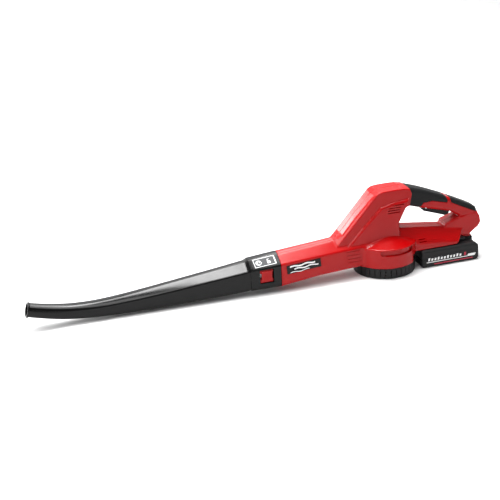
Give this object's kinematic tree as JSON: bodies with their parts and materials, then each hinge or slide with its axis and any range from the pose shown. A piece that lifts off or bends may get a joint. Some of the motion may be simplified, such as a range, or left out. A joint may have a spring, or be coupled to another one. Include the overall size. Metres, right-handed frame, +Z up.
{
  "type": "leaf blower",
  "caption": "Hand-held cordless leaf blower with a round under-body air intake, long curved clip-on nozzle, loop handle with trigger, and slide-on battery pack.",
  "frame": {"origin": "centre of the intake base's underside, on the fan's axis", "axes": "+Z up along the fan's axis, -X towards the nozzle, +X towards the battery, -Y the tool's left side"},
  "size_m": [0.8738, 0.121, 0.1639],
  "materials": {
    "red_shell": "moulded glossy red nylon",
    "black_gloss": "moulded glossy black plastic",
    "black_matte": "fine-grained dark grey plastic",
    "soft_grip": "soft over-moulded grip with fine dots",
    "label": "printed film label",
    "steel": "plain steel",
    "zinc": "zinc-plated steel",
    "brass": "plain brass",
    "copper": "laminated steel with enamelled copper wire",
    "magnet": "sintered ferrite",
    "carbon": "pressed carbon",
    "cell_wrap": "blue shrink film over a steel can",
    "board": "green circuit board",
    "pale": "natural white plastic"
  },
  "bodies": {
    "housing": {"housing_left": "red_shell", "housing_right": "red_shell", "grip_front": "soft_grip", "grip_rear": "soft_grip", "housing_screw_1": "zinc", "housing_screw_2": "zinc", "housing_screw_3": "zinc", "housing_screw_4": "zinc", "housing_screw_5": "zinc", "housing_screw_6": "zinc", "housing_screw_7": "zinc", "nameplate_left": "black_gloss", "nameplate_right": "black_gloss", "intake_base": "black_matte", "base_screw_1": "zinc", "base_screw_2": "zinc", "base_screw_3": "zinc", "base_screw_4": "zinc", "inlet_ring": "black_matte", "motor_can": "steel", "bearing_lower": "brass", "bearing_upper": "brass", "magnet_left": "magnet", "magnet_right": "magnet", "motor_end_cap": "black_matte", "brush_front": "carbon", "brush_rear": "carbon", "motor_plate": "zinc", "motor_screw_1": "zinc", "motor_screw_2": "zinc", "trigger_pin": "steel", "trigger_spring": "steel", "switch_body": "black_matte", "terminal_block": "black_matte", "contact_blade_1": "brass", "contact_blade_2": "brass"},
    "rotor": {"fan": "black_matte", "fan_nut": "zinc", "motor_shaft": "steel", "armature": "copper", "commutator": "brass"},
    "nozzle": {"nozzle": "black_gloss", "nozzle_label": "label", "lock_spring": "steel"},
    "lock_button": {"lock_button": "red_shell"},
    "trigger": {"trigger": "black_matte"},
    "switch_plunger": {"switch_plunger": "pale"},
    "battery": {"battery_tray": "black_matte", "battery_cover": "black_matte", "cell_1": "cell_wrap", "cell_2": "cell_wrap", "cell_3": "cell_wrap", "cell_4": "cell_wrap", "cell_5": "cell_wrap", "cell_board": "board", "release_spring": "steel"},
    "release_button": {"release_button": "red_shell"},
    "gauge_button": {"gauge_button": "pale"}
  },
  "joints": [
    {"name": "fan_spin", "type": "hinge", "parent": "housing", "child": "rotor", "pos_m": [0, 0, 0.04], "axis": [0, 0, 1], "continuous": true},
    {"name": "nozzle_slide", "type": "slide", "parent": "housing", "child": "nozzle", "axis": [-0.9994, 0, -0.034], "range_m": [0, 0.055]},
    {"name": "lock_press", "type": "slide", "parent": "nozzle", "child": "lock_button", "axis": [0, 1, 0], "range_m": [0, 0.0035], "stiffness_N_per_m": 400, "springref_m": -0.002, "deforming": ["lock_spring"]},
    {"name": "trigger_pull", "type": "hinge", "parent": "housing", "child": "trigger", "pos_m": [0.08, 0, 0.1125], "axis": [0, -1, 0], "range_deg": [0, 7], "stiffness_Nm_per_rad": 0.6, "springref_deg": -11.46, "deforming": ["trigger_spring"]},
    {"name": "plunger_travel", "type": "slide", "parent": "housing", "child": "switch_plunger", "axis": [0, 0, 1], "range_m": [0, 0.002]},
    {"name": "battery_slide", "type": "slide", "parent": "housing", "child": "battery", "axis": [1, 0, 0], "range_m": [0, 0.125]},
    {"name": "release_press", "type": "slide", "parent": "battery", "child": "release_button", "axis": [0, 0, -1], "range_m": [0, 0.003], "stiffness_N_per_m": 500, "springref_m": -0.002, "deforming": ["release_spring"]},
    {"name": "gauge_press", "type": "slide", "parent": "battery", "child": "gauge_button", "axis": [-1, 0, 0], "range_m": [0, 0.0008], "stiffness_N_per_m": 500, "springref_m": -0.0005}
  ],
  "couplings": [
    {"joint": "plunger_travel", "follows": "trigger_pull", "m_per_rad": 0.016}
  ]
}
